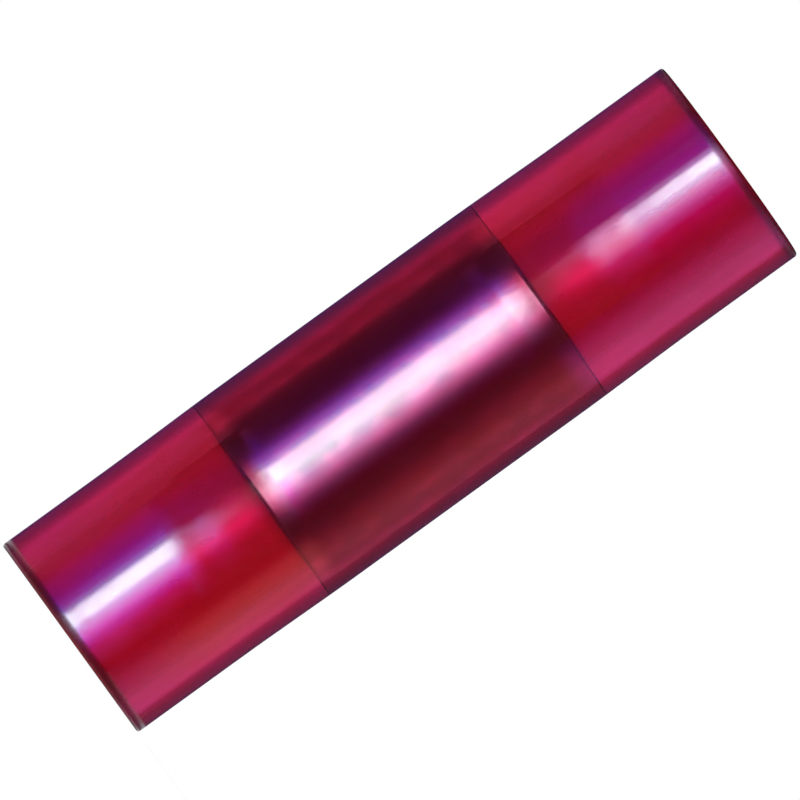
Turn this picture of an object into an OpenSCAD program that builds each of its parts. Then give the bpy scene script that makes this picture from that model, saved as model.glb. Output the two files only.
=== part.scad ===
// Insulated parallel splice connector for two or more fine wires.
// The stripped wires lie side by side in a seamless tinned copper barrel,
// and the barrel is crimped on them through its translucent nylon sleeve.
// The sleeve is one drawn tube: the barrel, a little wider than the tube's free bore,
// is pushed into its middle, so the tube stands proud there and necks down past both ends.
// The connector stands on one of its square-cut ends: the axis is Z, the lower end at z = 0.

/* [Barrel] */
// Length of the barrel
barrel_l = 6.8; // [5.8:0.1:7.6]
// Bore of the barrel
barrel_bore = 2.2; // [1.8:0.05:2.6]
// Wall of the barrel
barrel_wall = 0.5; // [0.45:0.05:0.8]
// Bevel that leads the strands into each mouth of the barrel
mouth_bevel = 0.2; // [0.1:0.02:0.22]
// Rounding of the barrel's outer edges, from tumbling
edge_round = 0.2; // [0.05:0.01:0.22]

/* [Serrations in the bore] */
// Number of ring grooves that bite into the strands
groove_count = 5; // [1:1:6]
// Distance from one groove to the next
groove_pitch = 0.9; // [0.7:0.05:0.95]
// Width of a groove at the bore
groove_w = 0.36; // [0.2:0.02:0.5]
// Depth of a groove
groove_depth = 0.09; // [0.04:0.01:0.15]

/* [Sleeve] */
// Length of the sleeve, end to end
sleeve_l = 16; // [15:0.5:20]
// Wall of the sleeve
sleeve_wall = 0.7; // [0.5:0.01:0.9]
// How much narrower the free bore is than the barrel
grip = 0.06; // [0.02:0.01:0.1]
// Length over which the sleeve necks down at each end of the barrel
neck_l = 2.2; // [1.5:0.1:3]
// Rounding of the sleeve's outer rims, from cutting
rim_round = 0.06; // [0.03:0.01:0.15]
// Rounding of the sleeve's bore at each wire entry
entry_round = 0.12; // [0.05:0.01:0.25]

/* [Fit] */
// Clearance round the barrel in its seat: the tube grips it all round
seat_gap = 0; // [0:0.005:0.05]

/* [Hidden] */
$fn = 128;
bore_r = barrel_bore / 2;
barrel_r = bore_r + barrel_wall;
seat_r = barrel_r + seat_gap;
free_r = barrel_r - grip / 2;
mid_z = sleeve_l / 2;
barrel_z0 = mid_z - barrel_l / 2;
barrel_z1 = mid_z + barrel_l / 2;
seat_z = barrel_z0 + edge_round;
arc_steps = 6;
nylon = [0.74, 0.05, 0.22, 0.75];
tinned_copper = [0.80, 0.79, 0.77];

// Points [r, z] of a rounded corner about centre c, from angle a0 to angle a1
function corner(c, radius, a0, a1) =
    [for (i = [0:arc_steps]) let (a = a0 + (a1 - a0) * i / arc_steps)
        c + radius * [cos(a), sin(a)]];

// The same points the other way round
function reversed(points) = [for (i = [len(points) - 1:-1:0]) points[i]];

// Points mirrored from the lower half to the upper half of the connector
function upper(points) = reversed([for (p = points) [p[0], sleeve_l - p[1]]]);

// The lower neck of a tube face: the stretched wall runs straight from the free radius r0
// to the rounded edge of the barrel, where the radius is r1
function neck(r0, r1) = [[r0, seat_z - neck_l], [r1, seat_z]];

// Lower half of the sleeve's outer face, from the flat end to the seat
function sleeve_outside() =
    concat(
        corner([free_r + sleeve_wall - rim_round, rim_round], rim_round, -90, 0),
        neck(free_r + sleeve_wall, seat_r + sleeve_wall));

// Lower half of the sleeve's bore, from the flat end to the seat
function sleeve_inside() =
    concat(
        corner([free_r + entry_round, entry_round], entry_round, -90, -180),
        neck(free_r, seat_r));

// The tube is one revolved wall, of even thickness from end to end
module insulating_sleeve() {
    color(nylon)
        rotate_extrude()
            polygon(concat(
                sleeve_outside(),
                upper(sleeve_outside()),
                reversed(upper(sleeve_inside())),
                reversed(sleeve_inside())));
}

// Half section of the barrel's blank: rounded outer edges and bevelled mouths
module barrel_section() {
    polygon(concat(
        corner([barrel_r - edge_round, barrel_z0 + edge_round], edge_round, -90, 0),
        corner([barrel_r - edge_round, barrel_z1 - edge_round], edge_round, 0, 90),
        [[bore_r + mouth_bevel, barrel_z1], [bore_r, barrel_z1 - mouth_bevel],
         [bore_r, barrel_z0 + mouth_bevel], [bore_r + mouth_bevel, barrel_z0]]));
}

// Section of one ring groove, a shallow V that opens into the bore
module groove_section() {
    polygon([
        [bore_r - groove_depth, -groove_w], [bore_r + groove_depth, 0],
        [bore_r - groove_depth, groove_w]]);
}

module crimp_barrel() {
    first_z = mid_z - groove_pitch * (groove_count - 1) / 2;
    color(tinned_copper)
        rotate_extrude()
            difference() {
                barrel_section();
                for (i = [0:groove_count - 1])
                    translate([0, first_z + groove_pitch * i])
                        groove_section();
            }
}

insulating_sleeve();
crimp_barrel();
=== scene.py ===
import math

import bpy
from mathutils import Matrix, Vector


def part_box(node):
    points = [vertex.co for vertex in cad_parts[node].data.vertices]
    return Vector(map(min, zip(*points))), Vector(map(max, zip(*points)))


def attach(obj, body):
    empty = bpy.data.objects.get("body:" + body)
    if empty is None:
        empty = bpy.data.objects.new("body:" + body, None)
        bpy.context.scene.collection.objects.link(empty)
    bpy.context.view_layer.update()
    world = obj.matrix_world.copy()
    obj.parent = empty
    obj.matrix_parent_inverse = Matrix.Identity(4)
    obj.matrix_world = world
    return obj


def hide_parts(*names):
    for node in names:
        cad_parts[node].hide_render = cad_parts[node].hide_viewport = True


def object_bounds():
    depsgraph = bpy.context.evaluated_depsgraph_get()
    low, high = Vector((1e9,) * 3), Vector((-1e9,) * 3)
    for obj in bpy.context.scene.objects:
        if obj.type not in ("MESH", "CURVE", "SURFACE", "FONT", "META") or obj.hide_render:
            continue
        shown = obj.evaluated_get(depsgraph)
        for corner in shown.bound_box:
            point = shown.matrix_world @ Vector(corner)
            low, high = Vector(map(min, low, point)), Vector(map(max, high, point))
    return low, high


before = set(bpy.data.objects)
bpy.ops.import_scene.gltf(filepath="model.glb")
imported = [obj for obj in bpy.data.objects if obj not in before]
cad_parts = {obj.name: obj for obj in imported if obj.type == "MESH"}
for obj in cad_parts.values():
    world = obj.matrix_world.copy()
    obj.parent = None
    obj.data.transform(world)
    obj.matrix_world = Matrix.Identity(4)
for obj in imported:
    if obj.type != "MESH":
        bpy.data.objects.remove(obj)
cad_low, cad_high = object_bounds()

# Insulating sleeve
# A drawn tube of translucent nylon, dyed magenta-red and cut square at both ends. It is pushed
# over the wider barrel, so it stands slightly proud there and necks down past both its ends.
MM = 0.001
sleeve_low, sleeve_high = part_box("insulating_sleeve")
barrel_low, barrel_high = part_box("crimp_barrel")
sleeve_length = sleeve_high.z - sleeve_low.z
barrel_length = barrel_high.z - barrel_low.z
barrel_radius = barrel_high.x
sleeve_wall = sleeve_high.x - barrel_radius
grip = 0.03 * MM
seat_margin = 0.33 * MM
neck_length = 2.07 * MM
neck_easing = 0.3
rim_round = 0.06 * MM
entry_round = 0.12 * MM
wall_stations = 81
wall_sides = 256
nylon_ior = 1.53
nylon_clearness = 0.96
nylon_red = (0.70, 0.066, 0.156)
nylon_deep_red = (0.65, 0.05, 0.098)
nylon_depth_colour = (0.91, 0.4, 0.8)
nylon_depth = 1000.0
cut_depth = 0.19 * MM
# Painted shade: factors that darken the tube's colour in a band at both ends
painted_rim_shade = (0.36, 0.6, 0.6)
end_face = 0.002 * MM
cloud_size = 0.5 * MM
gloss_patch = 0.25 * MM
outside_roughness = (0.03, 0.055)
bore_dullness = 0.24
cut_dullness = 0.15
end_frost = 0.4
die_line_width = 0.08 * MM
die_line_share = 0.12
ripple_size = 0.2 * MM
ripple_depth = 0.0004 * MM


def put(tree, value, socket):
    """Sets a node's input to a value, or links it to another node's output."""
    if isinstance(value, bpy.types.NodeSocket):
        tree.links.new(value, socket)
    else:
        socket.default_value = value


def calc(tree, operation, *values):
    """A Math node's result."""
    node = tree.nodes.new("ShaderNodeMath")
    node.operation = operation
    for value, socket in zip(values, node.inputs):
        put(tree, value, socket)
    return node.outputs[0]


def from_axis(tree, x, y):
    """How far a point is from the tube's axis."""
    return calc(tree, "SQRT", calc(tree, "ADD", calc(tree, "MULTIPLY", x, x),
                                   calc(tree, "MULTIPLY", y, y)))


def vector(tree, x, y, z):
    """A vector of three numbers."""
    node = tree.nodes.new("ShaderNodeCombineXYZ")
    for value, socket in zip((x, y, z), node.inputs):
        put(tree, value, socket)
    return node.outputs[0]


def chain(tree, kind, geometry, **values):
    """Adds a geometry node after another, sets its inputs, and returns what comes out of it."""
    node = tree.nodes.new(kind)
    tree.links.new(geometry, node.inputs[0])
    for name, value in values.items():
        put(tree, value, node.inputs[name.replace("_", " ")])
    return node.outputs[0]


def drawn_tube_tree():
    """Geometry Nodes tree of a drawn tube that is stretched over a barrel in its middle."""
    tree = bpy.data.node_groups.new("drawn_tube", "GeometryNodeTree")
    inputs = (
        ("Length", "Float", sleeve_length), ("Free Radius", "Float", barrel_radius - grip),
        ("Wall", "Float", sleeve_wall), ("Rim Round", "Float", rim_round),
        ("Entry Round", "Float", entry_round),
        ("Barrel Length", "Float", barrel_length), ("Seat Margin", "Float", seat_margin),
        ("Neck Length", "Float", neck_length), ("Easing", "Float", neck_easing),
        ("Stretch", "Float", grip), ("Stations", "Int", wall_stations),
        ("Sides", "Int", wall_sides), ("Material", "Material", None))
    ids = {}
    for name, kind, value in inputs:
        socket = tree.interface.new_socket(
            name, in_out="INPUT", socket_type="NodeSocket" + kind)
        ids[name] = (socket.identifier, value)
    tree.interface.new_socket("Geometry", in_out="OUTPUT", socket_type="NodeSocketGeometry")
    nodes = tree.nodes
    given = nodes.new("NodeGroupInput").outputs

    # The wall's section is a ring of stations, up the outer face and down the bore
    index = nodes.new("GeometryNodeInputIndex").outputs[0]
    last = calc(tree, "SUBTRACT", given["Stations"], 1)
    in_bore = calc(tree, "GREATER_THAN", index, last)
    up = calc(tree, "DIVIDE", index, last)
    down = calc(tree, "SUBTRACT", calc(tree, "DIVIDE", given["Stations"], last),
                calc(tree, "SUBTRACT", up, 1))
    share = calc(tree, "MINIMUM", up, down)
    height = calc(tree, "MULTIPLY", given["Length"], share)
    outer = calc(tree, "ADD", given["Free Radius"], given["Wall"])
    points = nodes.new("GeometryNodePoints")
    put(tree, calc(tree, "MULTIPLY", given["Stations"], 2), points.inputs["Count"])
    inwards = calc(tree, "MULTIPLY", in_bore, given["Wall"])
    put(tree, vector(tree, calc(tree, "MULTIPLY", inwards, -1),
                     calc(tree, "MULTIPLY", height, -1), 0.0), points.inputs["Position"])
    section = chain(tree, "GeometryNodePointsToCurves", points.outputs[0])
    section = chain(tree, "GeometryNodeSetSplineCyclic", section, Cyclic=True)

    # Only the stations at both ends are rounded, then the section is swept round the axis
    to_middle = calc(tree, "ABSOLUTE", calc(tree, "SUBTRACT", share, 0.5))
    at_rim = calc(tree, "GREATER_THAN", to_middle, 0.4999)
    rounding = calc(tree, "ADD", calc(tree, "MULTIPLY", in_bore, given["Entry Round"]),
                    calc(tree, "MULTIPLY", calc(tree, "SUBTRACT", 1, in_bore), given["Rim Round"]))
    fillet = nodes.new("GeometryNodeFilletCurve")
    fillet.mode = "POLY"
    put(tree, section, fillet.inputs["Curve"])
    put(tree, 7, fillet.inputs["Count"])
    put(tree, calc(tree, "MULTIPLY", at_rim, rounding), fillet.inputs["Radius"])
    circle = nodes.new("GeometryNodeCurvePrimitiveCircle")
    put(tree, given["Sides"], circle.inputs["Resolution"])
    put(tree, outer, circle.inputs["Radius"])
    tube = chain(tree, "GeometryNodeCurveToMesh", circle.outputs[0],
                 Profile_Curve=fillet.outputs[0])
    tube = chain(tree, "GeometryNodeFlipFaces", tube)

    # The stretch eases from 0 on the free ends to 1 a little past each end of the barrel
    place = nodes.new("ShaderNodeSeparateXYZ")
    put(tree, nodes.new("GeometryNodeInputPosition").outputs[0], place.inputs[0])
    x, y, z = place.outputs
    middle = calc(tree, "DIVIDE", given["Length"], 2)
    half_seat = calc(tree, "SUBTRACT", calc(tree, "DIVIDE", given["Barrel Length"], 2),
                     given["Seat Margin"])
    past_seat = calc(tree, "SUBTRACT", calc(tree, "ABSOLUTE", calc(tree, "SUBTRACT", z, middle)),
                     half_seat)
    ramp = calc(tree, "SUBTRACT", 1, calc(tree, "DIVIDE", past_seat, given["Neck Length"]))
    eased = calc(tree, "SMOOTH_MIN", calc(tree, "SMOOTH_MAX", ramp, 0, given["Easing"]), 1,
                 given["Easing"])
    stretch = calc(tree, "MULTIPLY", eased, given["Stretch"])
    growth = calc(tree, "DIVIDE", stretch, from_axis(tree, x, y))
    tube = chain(tree, "GeometryNodeSetPosition", tube, Offset=vector(
        tree, calc(tree, "MULTIPLY", x, growth), calc(tree, "MULTIPLY", y, growth), 0.0))
    tube = chain(tree, "GeometryNodeSetShadeSmooth", tube)
    tube = chain(tree, "GeometryNodeRealizeInstances", tube)
    tube = chain(tree, "GeometryNodeSetMaterial", tube, Material=given["Material"])
    tree.links.new(tube, nodes.new("NodeGroupOutput").inputs[0])
    return tree, ids


def made_by(tree, ids, name, material):
    """A plain mesh object of what a Geometry Nodes tree makes."""
    holder = bpy.data.objects.new(name + "_holder", bpy.data.meshes.new(name + "_holder"))
    bpy.context.collection.objects.link(holder)
    modifier = holder.modifiers.new(name, "NODES")
    modifier.node_group = tree
    for identifier, value in ids.values():
        modifier[identifier] = material if value is None else value
    bpy.context.view_layer.update()
    graph = bpy.context.evaluated_depsgraph_get()
    mesh = bpy.data.meshes.new_from_object(holder.evaluated_get(graph))
    bpy.data.objects.remove(holder)
    mesh.name = name
    piece = bpy.data.objects.new(name, mesh)
    bpy.context.collection.objects.link(piece)
    return piece


def grain(tree, size, stretch=(1, 1, 1), detail=2.0):
    """A noise between 0 and 1 on the piece itself, with grains of the given size."""
    place = tree.nodes.new("ShaderNodeTexCoord")
    turned = tree.nodes.new("ShaderNodeMapping")
    turned.inputs["Scale"].default_value = [1 / (size * part) for part in stretch]
    tree.links.new(place.outputs["Object"], turned.inputs["Vector"])
    noise = tree.nodes.new("ShaderNodeTexNoise")
    noise.inputs["Scale"].default_value = 1.0
    noise.inputs["Detail"].default_value = detail
    tree.links.new(turned.outputs[0], noise.inputs["Vector"])
    return noise.outputs["Fac"]


def blend(tree, share, low, high, from_low=0.3, from_high=0.7):
    """A number that runs from low to high as the share goes across its range."""
    ease = tree.nodes.new("ShaderNodeMapRange")
    for name, value in (("Value", share), ("From Min", from_low), ("From Max", from_high),
                        ("To Min", low), ("To Max", high)):
        put(tree, value, ease.inputs[name])
    return ease.outputs["Result"]


def tint(tree, share, low, high):
    """A colour between two colours."""
    mix = tree.nodes.new("ShaderNodeMix")
    mix.data_type = "RGBA"
    put(tree, share, mix.inputs[0])
    for colour, socket in ((low, mix.inputs[6]), (high, mix.inputs[7])):
        put(tree, (*colour, 1.0), socket)
    return mix.outputs[2]


def shaded(tree, colour, share, factors):
    """The colour darkened by its factors where the share is 1."""
    mix = tree.nodes.new("ShaderNodeMix")
    mix.data_type = "RGBA"
    mix.blend_type = "MULTIPLY"
    put(tree, share, mix.inputs[0])
    put(tree, colour, mix.inputs[6])
    mix.inputs[7].default_value = (*factors, 1.0)
    return mix.outputs[2]


def relief(tree, shader, height, depth):
    """Bumps a shader's surface by a height between 0 and about 1."""
    bump = tree.nodes.new("ShaderNodeBump")
    bump.inputs["Distance"].default_value = depth
    put(tree, height, bump.inputs["Height"])
    tree.links.new(bump.outputs[0], shader.inputs["Normal"])


def nylon_material():
    """Clear red through its depth, cloudy in places, with die lines outside and a duller bore.

    The knife leaves the tube duller near its ends and the end faces frosted; the darker colour near
    the ends is painted shade.
    """
    material = bpy.data.materials.new("red_nylon")
    material.use_nodes = True
    tree = material.node_tree
    shader = tree.nodes["Principled BSDF"]
    shader.inputs["Transmission Weight"].default_value = nylon_clearness
    shader.inputs["IOR"].default_value = nylon_ior
    place = tree.nodes.new("ShaderNodeSeparateXYZ")
    tree.links.new(tree.nodes.new("ShaderNodeTexCoord").outputs["Object"], place.inputs[0])
    x, y, z = place.outputs
    half = sleeve_length / 2
    to_middle = calc(tree, "ABSOLUTE", calc(tree, "SUBTRACT", z, half))
    # Near both ends the colour is darkened by painted shade, except on the end faces, and the
    # surface is duller there
    cut = blend(tree, to_middle, 0, 1, half - cut_depth * 1.2, half - cut_depth * 0.8)
    face = calc(tree, "GREATER_THAN", to_middle, half - end_face)
    cloud = blend(tree, grain(tree, cloud_size, (1, 1, 1.4), 3.0), 0, 1)
    red = shaded(tree, tint(tree, cloud, nylon_red, nylon_deep_red),
                 calc(tree, "SUBTRACT", cut, face), painted_rim_shade)
    tree.links.new(red, shader.inputs["Base Color"])

    in_bore = calc(tree, "LESS_THAN", from_axis(tree, x, y), barrel_radius + 0.1 * MM)
    outside = blend(tree, grain(tree, gloss_patch, (1, 1, 4)), *outside_roughness)
    rough = calc(tree, "ADD", calc(tree, "MULTIPLY", in_bore, bore_dullness),
                 calc(tree, "ADD", calc(tree, "MULTIPLY", cut, cut_dullness), outside))
    rough = calc(tree, "ADD", rough, calc(tree, "MULTIPLY", face, end_frost))
    tree.links.new(rough, shader.inputs["Roughness"])
    die_lines = grain(tree, die_line_width, (1, 1, 30))
    height = calc(tree, "ADD", calc(tree, "MULTIPLY", die_lines, die_line_share),
                  grain(tree, ripple_size, (1, 1, 2)))
    relief(tree, shader, height, ripple_depth)

    depth = tree.nodes.new("ShaderNodeVolumeAbsorption")
    depth.inputs["Color"].default_value = (*nylon_depth_colour, 1.0)
    depth.inputs["Density"].default_value = nylon_depth
    tree.links.new(depth.outputs[0], tree.nodes["Material Output"].inputs["Volume"])
    return material


tube_tree, tube_ids = drawn_tube_tree()
sleeve = made_by(tube_tree, tube_ids, "insulating_sleeve_skin", nylon_material())
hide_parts("insulating_sleeve")
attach(sleeve, "root")

# Crimp barrel
# A seamless copper tube, tin plated, with bevelled mouths and tumbled edges. It is pressed into
# the middle of the sleeve, which touches it all round.
bore_radius = 1.1 * MM
edge_round = 0.08 * MM
lap = 0.01 * MM
bend_length = 0.06 * MM
bend_radius = 6.0 * MM
mouth_bevel = 0.2 * MM
groove_count = 5
groove_pitch = 0.9 * MM
groove_width = 0.36 * MM
groove_depth = 0.09 * MM
barrel_sides = 192
tin_light = (0.6, 0.59, 0.57)
tin_dark = (0.48, 0.47, 0.45)
tin_roughness = (0.13, 0.2)
tin_mottle = 0.35 * MM
draw_line_width = 0.1 * MM
draw_line_depth = 0.0003 * MM
draw_line_spread = 0.9


def revolved(name, outline, sides, material):
    """A closed ring-shaped mesh: a closed [radius, z] outline turned about Z."""
    points = []
    for side in range(sides):
        angle = 2 * math.pi * side / sides
        points += [(r * math.cos(angle), r * math.sin(angle), z) for r, z in outline]
    count = len(outline)
    faces = []
    for side in range(sides):
        for i in range(count):
            j = (i + 1) % count
            here, there = side * count, (side + 1) % sides * count
            faces.append((here + i, there + i, there + j, here + j))
    mesh = bpy.data.meshes.new(name)
    mesh.from_pydata(points, [], faces)
    mesh.shade_smooth()
    mesh.set_sharp_from_angle(angle=math.radians(30))
    mesh.materials.append(material)
    piece = bpy.data.objects.new(name, mesh)
    bpy.context.collection.objects.link(piece)
    return piece


def corner(radius, z, size, start, end, steps=8):
    """Points of a rounded corner about (radius, z), between two angles in degrees."""
    angles = [math.radians(start + (end - start) * i / steps) for i in range(steps + 1)]
    return [(radius + size * math.cos(a), z + size * math.sin(a)) for a in angles]


def barrel_outline():
    """Up the outside, which bends in a little before its rounded edges, and down the bore."""
    low, high = barrel_low.z, barrel_high.z
    middle = (low + high) / 2
    radius = barrel_radius + lap
    drop = bend_length ** 2 / (2 * bend_radius)
    lean = math.degrees(bend_length / bend_radius)
    half = (high - low) / 2 - edge_round
    bent = [(radius - (bend_length * share) ** 2 / (2 * bend_radius),
             half - bend_length * (1 - share)) for share in (0, 0.2, 0.4, 0.6, 0.8)]
    bent += corner(radius - drop - edge_round, half, edge_round, lean, 90)
    outline = [(r, middle - z) for r, z in reversed(bent)]
    outline += [(radius, middle + (half - bend_length) * share)
                for share in (-0.98, -0.6, -0.2, 0.2, 0.6, 0.98)]
    outline += [(r, middle + z) for r, z in bent]
    outline += [(bore_radius + mouth_bevel, high), (bore_radius, high - mouth_bevel)]
    for i in range(groove_count):
        z = middle + groove_pitch * ((groove_count - 1) / 2 - i)
        outline += [(bore_radius, z + groove_width / 2), (bore_radius + groove_depth, z),
                    (bore_radius, z - groove_width / 2)]
    return outline + [(bore_radius, low + mouth_bevel), (bore_radius + mouth_bevel, low)]


def tin_material():
    """Soft bright tin, faintly mottled. Draw lines in the copper spread light round the tube."""
    material = bpy.data.materials.new("tin_plate")
    material.use_nodes = True
    tree = material.node_tree
    shader = tree.nodes["Principled BSDF"]
    shader.inputs["Metallic"].default_value = 1.0
    shader.inputs["Anisotropic"].default_value = draw_line_spread
    mottle = blend(tree, grain(tree, tin_mottle, (1, 1, 1.5)), 0, 1)
    tree.links.new(tint(tree, mottle, tin_light, tin_dark), shader.inputs["Base Color"])
    tree.links.new(blend(tree, mottle, *tin_roughness, 0, 1), shader.inputs["Roughness"])
    lines = grain(tree, draw_line_width, (1, 1, 40), 0.0)
    relief(tree, shader, calc(tree, "ADD", lines, calc(tree, "MULTIPLY", mottle, 0.5)),
           draw_line_depth)
    around = tree.nodes.new("ShaderNodeTangent")
    around.direction_type = "RADIAL"
    around.axis = "Z"
    tree.links.new(around.outputs[0], shader.inputs["Tangent"])
    return material


barrel = revolved("crimp_barrel_skin", barrel_outline(), barrel_sides, tin_material())
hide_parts("crimp_barrel")
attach(barrel, "root")

# Studio
# White paper on the floor of a plain white room, with the camera square to the axis and rolled.
# The key light is a strip round the camera. The other cards are only seen in reflections and
# through the tube: they darken its sides, as black card does, and colour its highlights.
axis_tilt = 35.9
camera_distance = 0.6
camera_height = 0.2 * MM
frame_width = 15.71 * MM
sensor = 36.0
floor_reach = 0.6
paper_gap = 0.05
centre = (cad_low + cad_high) / 2


def towards(azimuth, elevation=0.0):
    """Unit vector from the object: azimuth 0 is the camera's side, 90 is +X."""
    a, e = math.radians(azimuth), math.radians(elevation)
    return Vector((math.sin(a) * math.cos(e), -math.cos(a) * math.cos(e), math.sin(e)))


def camera():
    """A long lens in front of the object, rolled so that its axis rises to the right."""
    data = bpy.data.cameras.new("camera")
    data.sensor_width = sensor
    data.lens = sensor * camera_distance / frame_width
    data.clip_start, data.clip_end = 0.01, 10.0
    eye = bpy.data.objects.new("camera", data)
    bpy.context.collection.objects.link(eye)
    place = Vector((0.0, -camera_distance, camera_height))
    back = (place - centre).normalized()
    across = Vector((1.0, 0.0, 0.0))
    along = back.cross(across)
    tilt = math.radians(axis_tilt)
    right = along * math.cos(tilt) + across * math.sin(tilt)
    up = along * math.sin(tilt) - across * math.cos(tilt)
    turn = Matrix((right, up, back)).transposed()
    eye.matrix_world = Matrix.Translation(place) @ turn.to_4x4()
    return eye


def card_material(name, test):
    """Glows as its mesh's shade says. A test of how often a ray was mirrored can let it pass."""
    material = bpy.data.materials.new(name)
    material.use_nodes = True
    tree = material.node_tree
    tree.nodes.remove(tree.nodes["Principled BSDF"])
    shade = tree.nodes.new("ShaderNodeAttribute")
    shade.attribute_name = "shade"
    glow = tree.nodes.new("ShaderNodeEmission")
    tree.links.new(shade.outputs["Color"], glow.inputs["Color"])
    result = glow.outputs[0]
    if test:
        path = tree.nodes.new("ShaderNodeLightPath")
        mix = tree.nodes.new("ShaderNodeMixShader")
        tree.links.new(calc(tree, test, path.outputs["Glossy Depth"], 0.5), mix.inputs[0])
        tree.links.new(tree.nodes.new("ShaderNodeBsdfTransparent").outputs[0], mix.inputs[1])
        tree.links.new(result, mix.inputs[2])
        result = mix.outputs[0]
    tree.links.new(result, tree.nodes["Material Output"].inputs["Surface"])
    return material


def stage_piece(name, points, faces, shades, seen):
    """A card that the camera doesn't see. It is there for "all" other rays, for reflections on the
    sleeve's "outside", for those on the barrel and "inside" the wall, or for sight "through" it."""
    mesh = bpy.data.meshes.new(name)
    mesh.from_pydata(points, [], faces)
    layer = mesh.color_attributes.new("shade", "FLOAT_COLOR", "POINT")
    for spot, shade in zip(layer.data, shades):
        spot.color = (*shade, 1.0)
    tests = {"inside": "GREATER_THAN", "through": "LESS_THAN"}
    mesh.materials.append(card_material(name, tests.get(seen)))
    piece = bpy.data.objects.new(name, mesh)
    piece.visible_camera = False
    piece.visible_shadow = False
    if seen != "all":
        mesh.materials[0].cycles.emission_sampling = "NONE"
        piece.visible_diffuse = False
        piece.visible_transmission = seen != "outside"
        piece.visible_glossy = seen == "outside"
    bpy.context.collection.objects.link(piece)


def shade_at(stops, azimuth):
    """The shade at an azimuth, between the stops on both sides of it."""
    for (start, first), (end, second) in zip(stops, stops[1:]):
        if azimuth <= end:
            share = max(azimuth - start, 0) / (end - start)
            return [a + (b - a) * share for a, b in zip(first, second)]
    return stops[-1][1]


def card(name, rims, seen):
    """A card from rim to rim. Each rim has its distance, its height and shades at azimuths."""
    marks = sorted({azimuth for _, _, stops in rims for azimuth, _ in stops})
    azimuths = marks[:1]
    for start, end in zip(marks, marks[1:]):
        steps = max(1, round((end - start) / 4))
        azimuths += [start + (end - start) * i / steps for i in range(1, steps + 1)]
    points, shades = [], []
    for azimuth in azimuths:
        out = towards(azimuth)
        for distance, height, stops in rims:
            points.append((out.x * distance, out.y * distance, height))
            shades.append(shade_at(stops, azimuth))
    count = len(rims)
    faces = [(i + j, i + j + 1, i + j + 1 + count, i + j + count)
             for i in range(0, len(points) - count, count) for j in range(count - 1)]
    stage_piece(name, points, faces, shades, seen)


def upright(name, distance, rows, seen):
    """An upright card, from its distance and its rows' heights and shades, in millimetres."""
    card(name, [(distance * MM, height * MM, stops) for height, stops in rows], seen)


def lying(name, height, rows, seen):
    """A level card, from its height and its rows' distances and shades, in millimetres."""
    card(name, [(distance * MM, height * MM, stops) for distance, stops in rows], seen)


def ring(name, height, rows, seen):
    """A level card all round the object, with one shade to a row."""
    lying(name, height, [(distance, [(0, shade), (360, shade)]) for distance, shade in rows], seen)


def grey(value):
    """A colourless shade."""
    return (value, value, value)


def floor():
    """White paper."""
    mesh = bpy.data.meshes.new("floor")
    mesh.from_pydata([(-floor_reach, -floor_reach, 0), (floor_reach, -floor_reach, 0),
                      (floor_reach, floor_reach, 0), (-floor_reach, floor_reach, 0)],
                     [], [(0, 1, 2, 3)])
    material = bpy.data.materials.new("floor")
    material.use_nodes = True
    tree = material.node_tree
    tree.nodes.remove(tree.nodes["Principled BSDF"])
    paper = tree.nodes.new("ShaderNodeBsdfDiffuse")
    paper.inputs["Color"].default_value = (1.0, 1.0, 1.0, 1.0)
    tree.links.new(paper.outputs[0], tree.nodes["Material Output"].inputs["Surface"])
    mesh.materials.append(material)
    plane = bpy.data.objects.new("floor", mesh)
    bpy.context.collection.objects.link(plane)


def room():
    """Plain white all round, at a strength of 1."""
    world = bpy.data.worlds.new("room")
    bpy.context.scene.world = world
    world.use_nodes = True
    world.node_tree.nodes["Background"].inputs["Color"].default_value = (1, 1, 1, 1)
    world.node_tree.nodes["Background"].inputs["Strength"].default_value = 1.0


bpy.context.scene.view_settings.view_transform = "Standard"
bpy.context.scene.camera = camera()

# The key light: a white core with a violet fringe on its left and a magenta one on its right.
# It is softer behind the barrel's height, and dimmer a little above that.
low_key = [
    (-70, (0.9, 0.13, 0.4)), (-60, (0.8, 0.1, 1.2)), (-52, (0.4, 0.08, 2.0)), (-44, (0, 0.1, 2.6)),
    (-38, (0, 0.15, 4.2)), (-30, (0.3, 0.8, 7.5)), (-24.5, (1.0, 3.6, 11.5)), (-19, (18, 22, 27)),
    (-9, (19, 22, 27)), (-4, (8.6, 9.2, 17.5)), (2, (9, 5.0, 15)), (8, (7.6, 1.6, 11)),
    (14, (4.4, 0.1, 4.8)), (22, (3.2, 0, 1.4)), (30, (1.4, 0, 0.4)), (38, (0.5, 0, 0)),
    (46, (0.1, 0, 0))]
foot_key = [
    (-70, (0.9, 0.13, 0.6)), (-60, (0.7, 0.1, 1.2)), (-52, (0.4, 0.08, 2.0)), (-44, (0, 0.1, 2.6)),
    (-38, (0, 0.15, 4.2)), (-30, (0.3, 1.0, 8.0)), (-24.5, (0.7, 4.2, 11)), (-19, (18, 24, 28)),
    (-9, (20, 26, 31)), (-4, (10, 11.5, 22)), (2, (10, 5.8, 17.5)), (8, (7.8, 2.1, 13)),
    (14, (4.6, 0.9, 8.2)), (22, (3.2, 0.3, 3)), (30, (1.4, 0.2, 1.5)), (38, (0.5, 0.1, 0.6)),
    (46, (0.1, 0, 0.1))]
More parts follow.
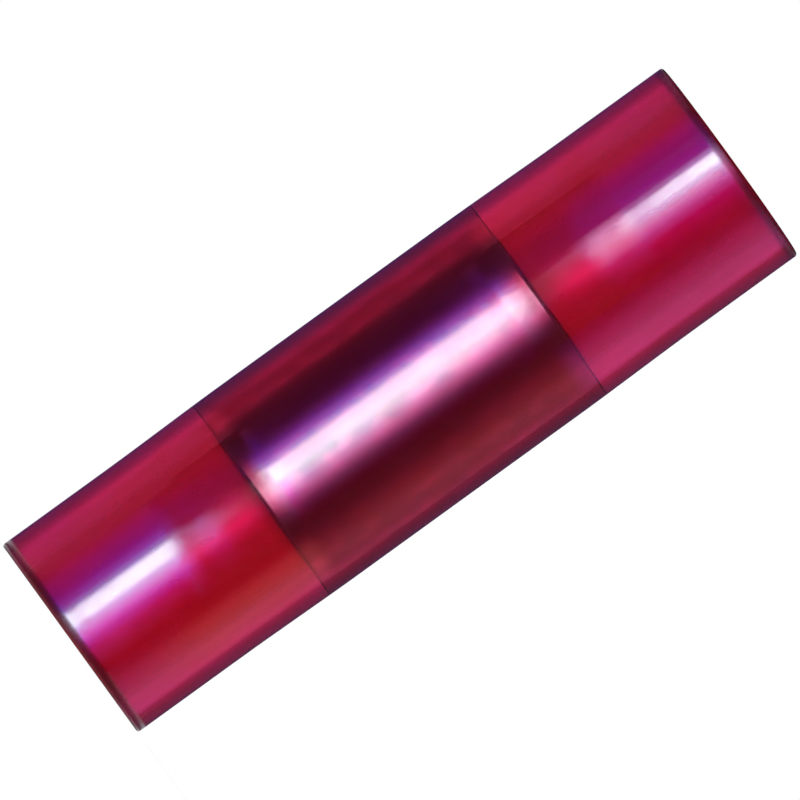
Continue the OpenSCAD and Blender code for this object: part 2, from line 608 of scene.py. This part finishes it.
middle_key = [
    (-70, (0, 0, 0.05)), (-60, (0, 0, 0.1)), (-52, (0, 0, 0.2)), (-44, (0, 0.05, 1.0)),
    (-38, (0, 0.15, 3.4)), (-30, (0.3, 1.1, 8.0)), (-24.5, (1.0, 4.5, 12)), (-19, (9, 12.5, 16)),
    (-9, (9.5, 14, 17)), (-4, (5.5, 12, 13)), (2, (4.6, 8, 10.5)), (8, (4.6, 4.2, 7.5)),
    (14, (4.4, 1.9, 4.6)), (20, (2.6, 0.7, 2.1)), (26, (0.8, 0.2, 0.8)), (34, (0.3, 0, 0.1)),
    (46, (0.1, 0, 0))]
high_key = [
    (-70, (0.9, 0.13, 0.4)), (-60, (0.6, 0.08, 1.0)), (-52, (0.3, 0.06, 1.5)),
    (-44, (0, 0.05, 1.7)), (-38, (0, 0.1, 2.2)), (-30, (0.1, 0.1, 2.8)), (-24.5, (0.2, 0.3, 3.2)),
    (-19, (1.5, 1, 4.5)), (-15, (4.8, 3.6, 10)), (-8, (6.8, 5, 11.5)), (-4, (7.2, 5.2, 11)),
    (2, (7, 3.2, 7.8)), (8, (6, 1.5, 5.8)), (14, (3.6, 0.4, 3.6)), (22, (2.4, 0, 0.5)),
    (30, (1.2, 0, 0.3)), (38, (0.4, 0, 0.3)), (46, (0.1, 0, 0.2))]
top_key = [
    (-70, (0.9, 0.14, 0.5)), (-60, (0.7, 0.1, 1.2)), (-52, (0.4, 0.08, 1.9)),
    (-44, (0, 0.05, 2.2)), (-38, (0, 0.2, 2.8)), (-30, (0.1, 0.1, 3.6)), (-24.5, (0.1, 0.3, 4.6)),
    (-19, (4, 4.8, 12)), (-15, (22, 26, 31)), (-8, (22, 28, 32)), (-4, (12, 15, 22)),
    (2, (9, 6.8, 13.5)), (8, (6.6, 2.6, 9)), (14, (3.8, 0.8, 4.6)), (22, (2.6, 0, 2)),
    (30, (1.4, 0, 1)), (38, (0.4, 0, 0.4)), (46, (0.1, 0, 0.2))]
key_top = 36
upright("key", 600, [
    (paper_gap, foot_key), (1.5, foot_key), (3.5, low_key), (5.5, low_key), (10, middle_key),
    (20.5, middle_key), (23, high_key), (26.5, high_key), (31.5, top_key), (key_top, top_key)],
    "all")

# The barrel's own view of the key light, with dark above it
barrel_low_key = [
    (-75, (0.02, 0.02, 0.04)), (-60, (0.05, 0.0, 0.03)), (-45, (0.45, 0.4, 0.5)),
    (-32, (2.5, 4.0, 2.6)), (-22, (3.7, 16, 11)), (-6, (3.6, 30, 12.5)), (5, (3.5, 18, 8)),
    (12, (2.2, 6, 4.2)), (19, (1.2, 1.6, 2)), (32, (0.15, 0.1, 0.3)), (45, (0.05, 0.05, 0.08))]
barrel_high_key = [
    (-75, (0.02, 0.02, 0.04)), (-60, (0.05, 0.0, 0.03)), (-45, (0.45, 0.4, 0.5)),
    (-32, (2.5, 4.0, 2.6)), (-22, (4.1, 22, 12)), (-6, (4.2, 46, 15.5)), (5, (4.9, 35, 16.5)),
    (12, (3.0, 13, 8.2)), (19, (1.6, 3.5, 3.2)), (32, (0.15, 0.1, 0.3)), (45, (0.05, 0.05, 0.08))]
dark = [(-75, grey(0.03)), (48, grey(0.03))]
surround_top = 250
upright("barrel_key", 590, [
    (paper_gap, barrel_low_key), (11, barrel_low_key), (20, barrel_high_key),
    (key_top, barrel_high_key), (key_top + 0.5, dark), (surround_top, dark)], "inside")

# Round the key light, what the sloping necks and the rims mirror of the room and the floor
halo = [
    (-72, grey(0.05)), (-50, (0.03, 0.03, 0.5)), (-40, (0.03, 0.03, 0.8)),
    (-25, (0.05, 0.05, 1.2)), (-15, (3.4, 0.7, 3.8)), (-5, (6.5, 0.9, 4.2)),
    (5, (9.5, 0.4, 2.8)), (15, (4, 0.05, 0.7)), (25, (0.3, 0.03, 0.1)), (48, grey(0.05))]
near_halo = [
    (-72, grey(0.05)), (-60, (0, 0.02, 1.0)), (-50, (0.03, 0.03, 1.8)), (-40, (0.03, 0.05, 2.6)),
    (-25, (0.2, 0.3, 4)), (-15, (5.2, 7, 19)), (-5, (7.5, 4.2, 15)), (5, (8.5, 1.2, 7.5)),
    (15, (4.2, 0.2, 4)), (25, (2.2, 0.1, 1.4)), (38, (0.4, 0, 0.2)), (48, grey(0.05))]
far_halo = [
    (-72, grey(0.05)), (-50, (0.03, 0.03, 0.3)), (-40, (0.03, 0.03, 0.4)),
    (-25, (0.1, 0.03, 0.4)), (-15, (2.8, 0.1, 1.2)), (-5, (6.0, 0.2, 1.3)),
    (5, (8.5, 0.1, 1.4)), (15, (3, 0.03, 0.4)), (25, (0.3, 0.03, 0.1)), (48, grey(0.05))]
side_glow = [
    (-72, grey(0.05)), (-60, (0, 0.02, 0.8)), (-44, (0, 0.1, 1.8)), (-30, (0.2, 0.4, 4)),
    (-15, (5, 4.8, 11)), (-5, (7.0, 3.0, 9)), (5, (8.5, 1.2, 6)), (15, (4.0, 0.2, 3)),
    (25, (2.0, 0.1, 1)), (38, (0.4, 0, 0.2)), (48, grey(0.05))]
right_halo = [
    (-72, grey(0.05)), (-52, (0, 0.05, 1.2)), (-38, (0, 0.1, 1.8)), (-25, (0.2, 0.1, 2.2)),
    (-15, (9.5, 5.2, 10.5)), (-5, (11.5, 6.8, 11.5)), (5, (8, 2.8, 6.5)), (15, (4, 0.3, 3)),
    (25, (1.8, 0.1, 1)), (38, (0.4, 0, 0.2)), (48, grey(0.05))]
neck_glow = [
    (-72, grey(0.03)), (-40, (0.03, 0.03, 0.2)), (-25, (0.05, 0.03, 0.2)), (-15, (0.5, 0.03, 0.2)),
    (-5, (0.8, 0.03, 0.2)), (5, (1.0, 0.03, 0.2)), (15, (0.5, 0.03, 0.1)), (25, (0.1, 0.03, 0.03)),
    (48, grey(0.03))]
neck_flag_distance = 30
upright("key_surround", 610, [
    (paper_gap, side_glow), (key_top, side_glow), (39, halo), (surround_top, halo)], "outside")
upright("low_neck_flag", neck_flag_distance, [
    (2.95, far_halo), (3.6, far_halo), (4.05, neck_glow), (4.45, neck_glow), (5.05, middle_key)],
    "outside")
upright("high_neck_flag", neck_flag_distance, [
    (11.3, middle_key), (12.25, neck_glow), (12.9, neck_glow), (13.4, far_halo),
    (13.8, far_halo), (14.0, halo), (14.12, right_halo), (14.32, right_halo)], "outside")

# Flags at both sides. In front of them, red and violet sheens light the free tube's sides.
left_flag = [(-112, (0.1, 0.02, 0.04)), (-84, (0.06, 0.01, 0.03)), (-68, (0.03, 0.01, 0.12))]
left_red = [
    (-122, (0.06, 0.05, 0.12)), (-112, (1.1, 0.08, 0.2)), (-94, (2.1, 0.1, 0.25)),
    (-84, (1.8, 0.1, 0.25)), (-76, (1.3, 0.12, 0.3)), (-68, (1.0, 0.13, 0.4))]
left_violet = [
    (-122, (0.06, 0.05, 0.15)), (-112, (0.8, 0.08, 0.4)), (-94, (1.6, 0.12, 0.5)),
    (-84, (1.4, 0.14, 0.5)), (-76, (1.1, 0.15, 0.5)), (-68, (0.9, 0.14, 0.6))]
right_flag = [
    (46, (0.12, 0.01, 0.01)), (56, (0.1, 0.02, 0.01)), (68, (0.15, 0.06, 0.08)),
    (82, (0.34, 0.2, 0.22)), (94, (0.4, 0.27, 0.29)), (112, (0.36, 0.22, 0.26))]
right_shine = [
    (46, (0.12, 0.01, 0.01)), (56, (0.1, 0.02, 0.01)), (68, (0.5, 0.08, 0.08)),
    (82, (0.9, 0.24, 0.2)), (94, (0.5, 0.26, 0.22)), (112, (0.25, 0.18, 0.2))]
right_red = [
    (46, (0.2, 0.01, 0.01)), (56, (0.7, 0.05, 0.05)), (68, (2.3, 0.33, 0.3)),
    (82, (2.5, 0.5, 0.45)), (94, (3.2, 0.55, 0.65)), (112, (1.8, 0.35, 0.6)),
    (122, (0.2, 0.1, 0.15))]
right_violet = [
    (46, (0.1, 0.01, 0.2)), (56, (0.15, 0.05, 0.4)), (68, (1.3, 0.2, 1.1)),
    (82, (1.9, 0.35, 1.3)), (94, (2.4, 0.4, 1.4)), (112, (1.4, 0.3, 1.0)),
    (122, (0.2, 0.1, 0.2))]
flag_distance, sheen_distance, flag_top = 50, 48, 20
for side_flag, stops in (("left_flag", left_flag), ("right_flag", right_flag)):
    upright(side_flag, flag_distance, [(paper_gap, stops), (flag_top, stops)], "inside")
upright("left_sheen", sheen_distance, [
    (paper_gap, left_violet), (1.2, left_violet), (2.8, left_red), (4.6, left_red),
    (5.2, left_flag), (12, left_flag), (12.6, left_red), (14.4, left_red), (16, left_violet),
    (flag_top, left_violet)], "outside")
upright("right_sheen", sheen_distance, [
    (paper_gap, right_violet), (2.4, right_red), (4.6, right_red), (5.2, right_shine),
    (12, right_shine), (12.8, right_violet), (flag_top, right_violet)], "outside")

# Close behind the tube: what its wall mirrors inside, and a tint on what is seen through it
back = [
    (128, (1.05, 0.9, 1.15)), (137, (1.1, 0.85, 1.2)), (142, (0.8, 0.6, 0.95)),
    (148, (0.5, 0.42, 0.7)), (154, (0.4, 0.33, 0.6)), (161, (0.33, 0.33, 0.58)),
    (168.5, (0.36, 0.5, 0.68)), (177, (0.5, 0.8, 0.95))]
back += [(360 - azimuth, shade) for azimuth, shade in reversed(back)]
low_tint = [
    (140, (1, 1, 1)), (148, (0.97, 0.6, 0.65)), (157, (0.93, 0.4, 0.45)), (168, (1, 0.5, 0.58)),
    (176, (1, 0.9, 0.9)), (184, (1, 1, 1)), (189, (0.8, 0.8, 1)), (196, (0.66, 0.75, 1)),
    (200, (0.74, 0.8, 1)), (206, (0.95, 1, 1)), (212, (1, 1, 1))]
high_tint = [
    (140, (0.97, 0.7, 1)), (148, (0.85, 0.5, 1)), (157, (0.84, 0.35, 0.9)),
    (168, (0.95, 0.5, 0.78)), (176, (1, 1, 1)), (184, (1, 1, 1)), (189, (0.72, 0.8, 1)),
    (196, (0.62, 0.75, 1)), (200, (0.72, 0.8, 1)), (206, (0.93, 1, 1)), (212, (1, 1, 1))]
back_top = 17
upright("back_flag", 5, [(paper_gap, back), (back_top, back)], "inside")
upright("back_tint", 5.1, [
    (paper_gap, low_tint), (7, low_tint), (9, high_tint), (back_top, high_tint)], "through")

# Flags behind the object and round the barrel's waist, which darken the silhouette
for side_flag, stops in (
        ("left_back_flag", [(-175, (0.03, 0.02, 0.14)), (-112, (0.06, 0.05, 0.12))]),
        ("right_back_flag", [(112, grey(0.08)), (175, (0.05, 0.03, 0.1))])):
    upright(side_flag, flag_distance, [(paper_gap, stops), (flag_top, stops)], "outside")
left_waist = [
    (-172, (0.57, 0.35, 0.36)), (-125, (0.57, 0.35, 0.36)), (-110, (0.7, 0.4, 0.45))]
right_waist = [(110, grey(0.7)), (125, (0.55, 0.5, 0.5)), (172, (0.55, 0.5, 0.5))]
waist_distance, waist_low, waist_high = 9, 4.65, 11.65
for side_flag, stops in (("right_waist_flag", right_waist), ("left_waist_flag", left_waist)):
    upright(side_flag, waist_distance, [(waist_low, stops), (waist_high, stops)], "inside")

# Canopies overhead, then cards on the paper
ring("canopy", 22, [(0.1, grey(0.03)), (60, grey(0.03))], "outside")
ring("barrel_canopy", 23, [
    (0.1, grey(0.6)), (6, grey(0.55)), (12, grey(0.3)), (20, grey(0.15)), (60, grey(0.1))],
    "inside")
ring("barrel_floor", paper_gap, [
    (2.4, (0.6, 0.35, 0.45)), (5, (0.45, 0.25, 0.35)), (8, (0.2, 0.1, 0.15)), (12, grey(0.12)),
    (30, grey(0.2)), (60, grey(0.1)), (580, grey(0.03))], "inside")
ring("foot", paper_gap, [(2.36, (0.1, 0.07, 0.11)), (6, (0.1, 0.07, 0.11))], "outside")
lying("floor_glow", paper_gap, [
    (6, dark), (10, dark), (14, low_key), (60, low_key), (100, near_halo), (128, near_halo),
    (150, far_halo), (225, far_halo), (280, side_glow), (590, side_glow)], "outside")
floor()
room()
